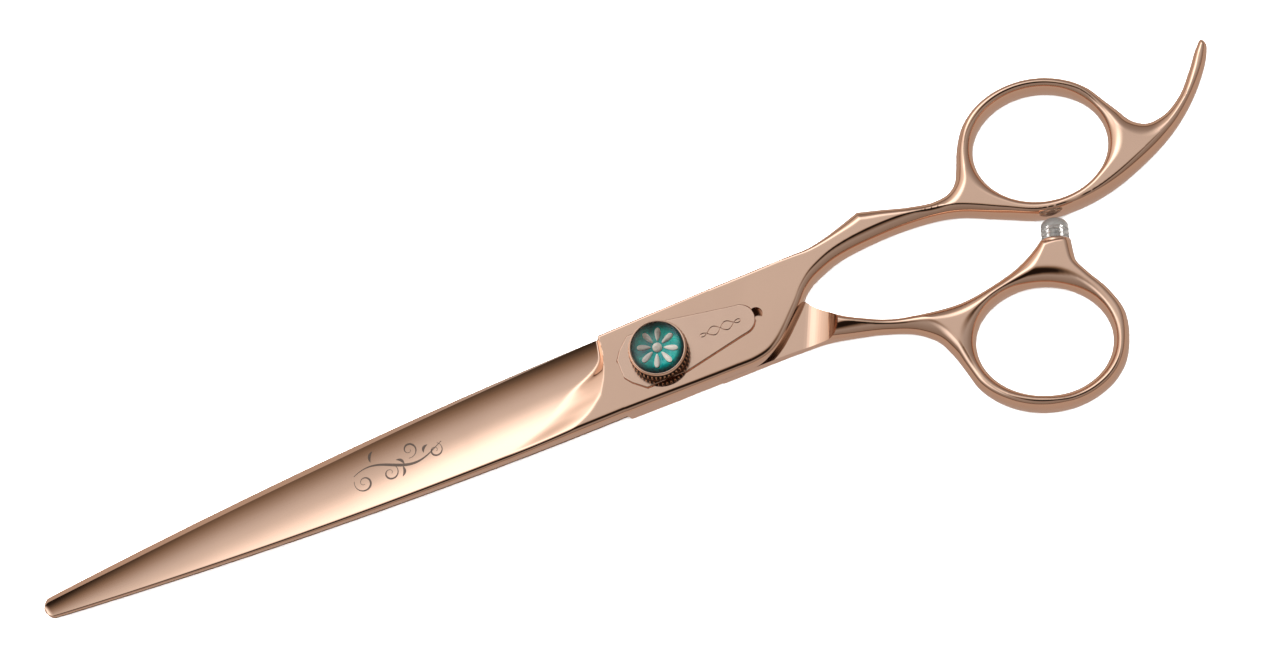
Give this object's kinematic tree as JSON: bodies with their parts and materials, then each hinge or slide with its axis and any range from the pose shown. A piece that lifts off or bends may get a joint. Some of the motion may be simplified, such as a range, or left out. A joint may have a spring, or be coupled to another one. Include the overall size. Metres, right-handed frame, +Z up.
{
  "type": "hair cutting shears",
  "caption": "Rose-gold hair cutting shears with offset finger and thumb rings, a finger rest, a clicking tension dial under a domed stone, and a rubber bumper.",
  "frame": {"origin": "centre of the flat face of the pivot stud's head, on the pivot axis, where the shears stand on a table", "axes": "+X from the blade tips to the handles, +Z up the pivot axis from the stud's head to the stone, +Y towards the finger ring and its finger rest"},
  "size_m": [0.2244, 0.0583, 0.0115],
  "materials": {
    "rose_gold": "mirror-polished rose-gold coating over steel",
    "stainless": "machined",
    "bronze": "machined bearing bronze",
    "slip_plastic": "smooth low-friction plastic",
    "emerald_glass": "polished coloured glass",
    "dark_backing": "dark teal lacquer",
    "rose_foil": "satin rose-gold foil",
    "clear_rubber": "translucent grey silicone"
  },
  "bodies": {
    "finger_side": {"finger_half": "rose_gold", "click_plate": "rose_gold", "pivot_stud": "stainless", "slip_washer": "slip_plastic", "dial_washer": "slip_plastic"},
    "thumb_side": {"thumb_half": "rose_gold", "pivot_bush": "bronze", "head_washer": "slip_plastic", "bumper": "clear_rubber", "bumper_post": "stainless"},
    "tension_dial": {"dial": "rose_gold", "dial_nut": "stainless", "bezel": "rose_gold", "jewel": "emerald_glass", "jewel_backing": "dark_backing", "rosette": "rose_foil"}
  },
  "joints": [
    {"name": "blade_pivot", "type": "hinge", "parent": "finger_side", "child": "thumb_side", "pos_m": [0, 0, 0.0034], "axis": [0, 0, -1], "range_deg": [0, 140]},
    {"name": "dial_turn", "type": "hinge", "parent": "finger_side", "child": "tension_dial", "pos_m": [0, 0, 0.0065], "axis": [0, 0, 1], "range_deg": [-180, 180]}
  ]
}
